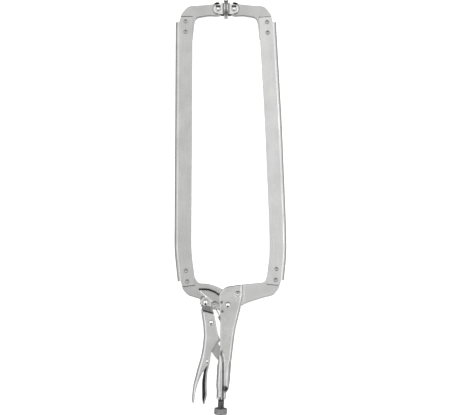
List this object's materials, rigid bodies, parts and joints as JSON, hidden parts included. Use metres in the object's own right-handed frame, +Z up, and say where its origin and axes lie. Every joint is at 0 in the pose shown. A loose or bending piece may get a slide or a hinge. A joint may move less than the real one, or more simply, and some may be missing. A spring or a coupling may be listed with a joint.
{
  "type": "locking c clamp",
  "caption": "Long-reach locking C clamp: channel arms with swivel pads, toggle lever with a release lever, and a knurled adjusting screw.",
  "frame": {"origin": "under the middle of the closed clamp, on the surface that it lies on", "axes": "+Y from the handles to the pads, +X towards the fixed arm, +Z up, square to the plane in which the jaws swing"},
  "size_m": [0.1612, 0.5993, 0.0274],
  "materials": {
    "arm_nickel": "satin nickel plate over rolled sheet",
    "jaw_nickel": "satin nickel plate over a forging",
    "handle_nickel": "satin nickel plate over pressed sheet",
    "rivet_polish": "bright polished heads",
    "pad_steel": "satin turned pads",
    "clevis_nickel": "bright nickel plate",
    "link_steel": "duller nickel plate, in the shade of the handles",
    "thread_steel": "dark oiled thread",
    "knob_steel": "grey knurled steel",
    "spring_steel": "drawn spring wire"
  },
  "bodies": {
    "fixed_frame": {"fixed_handle_shell": "handle_nickel", "fixed_jaw_root": "jaw_nickel", "main_pivot_rivet": "rivet_polish", "jaw_root_rivet": "arm_nickel", "fixed_arm_channel": "arm_nickel", "fixed_arm_lower_rivets": "arm_nickel", "fixed_arm_upper_rivets": "arm_nickel", "fixed_jaw_tip": "jaw_nickel", "fixed_pad_rivet": "rivet_polish", "return_spring": "spring_steel"},
    "fixed_pad": {"fixed_pad_clevis": "clevis_nickel", "fixed_pad_disc": "pad_steel"},
    "moving_jaw": {"moving_jaw_root": "jaw_nickel", "moving_arm_channel": "arm_nickel", "moving_arm_lower_rivets": "arm_nickel", "moving_arm_upper_rivets": "arm_nickel", "moving_jaw_tip": "jaw_nickel", "moving_pad_rivet": "rivet_polish", "lever_pivot_rivet": "rivet_polish"},
    "moving_pad": {"moving_pad_clevis": "clevis_nickel", "moving_pad_disc": "pad_steel"},
    "lever": {"lever_handle": "handle_nickel", "link_pivot_rivet": "rivet_polish", "release_pivot_rivet": "rivet_polish"},
    "link": {"toggle_link": "link_steel"},
    "release": {"release_lever": "link_steel"},
    "screw": {"adjusting_screw": "thread_steel"},
    "knob": {"screw_knob": "knob_steel"}
  },
  "joints": [
    {"name": "jaw_pivot", "type": "hinge", "parent": "fixed_frame", "child": "moving_jaw", "pos_m": [-0.0038, -0.14007, 0.0137], "axis": [0, 0, 1], "range_deg": [0, 34], "deforming": ["return_spring"]},
    {"name": "lever_pivot", "type": "hinge", "parent": "moving_jaw", "child": "lever", "pos_m": [-0.036, -0.13647, 0.0137], "axis": [0, 0, 1], "range_deg": [-87.5, 0]},
    {"name": "link_pivot", "type": "hinge", "parent": "lever", "child": "link", "pos_m": [-0.0279, -0.16517, 0.0137], "axis": [0, 0, 1], "range_deg": [0, 82]},
    {"name": "release_pivot", "type": "hinge", "parent": "lever", "child": "release", "pos_m": [-0.0334, -0.22117, 0.0137], "axis": [0, 0, 1], "range_deg": [-10, 0]},
    {"name": "fixed_pad_swivel", "type": "hinge", "parent": "fixed_frame", "child": "fixed_pad", "pos_m": [0.0051, 0.28593, 0.0137], "axis": [0, 0, 1], "range_deg": [0, 17.5]},
    {"name": "moving_pad_swivel", "type": "hinge", "parent": "moving_jaw", "child": "moving_pad", "pos_m": [-0.0177, 0.28593, 0.0137], "axis": [0, 0, 1], "range_deg": [-17.5, 0]},
    {"name": "screw_travel", "type": "slide", "parent": "fixed_frame", "child": "screw", "axis": [-0.0471, -0.9989, 0], "range_m": [0, 0.024]},
    {"name": "screw_turn", "type": "hinge", "parent": "screw", "child": "knob", "pos_m": [-0.0131, -0.27007, 0.0137], "axis": [-0.0471, -0.9989, 0], "range_deg": [0, 5400]}
  ],
  "couplings": [
    {"joint": "lever_pivot", "follows": "jaw_pivot", "ratio": -2.565},
    {"joint": "link_pivot", "follows": "jaw_pivot", "ratio": 2.397},
    {"joint": "fixed_pad_swivel", "follows": "jaw_pivot", "ratio": 0.5},
    {"joint": "moving_pad_swivel", "follows": "jaw_pivot", "ratio": -0.5},
    {"joint": "screw_turn", "follows": "screw_travel", "rad_per_m": 3927}
  ]
}
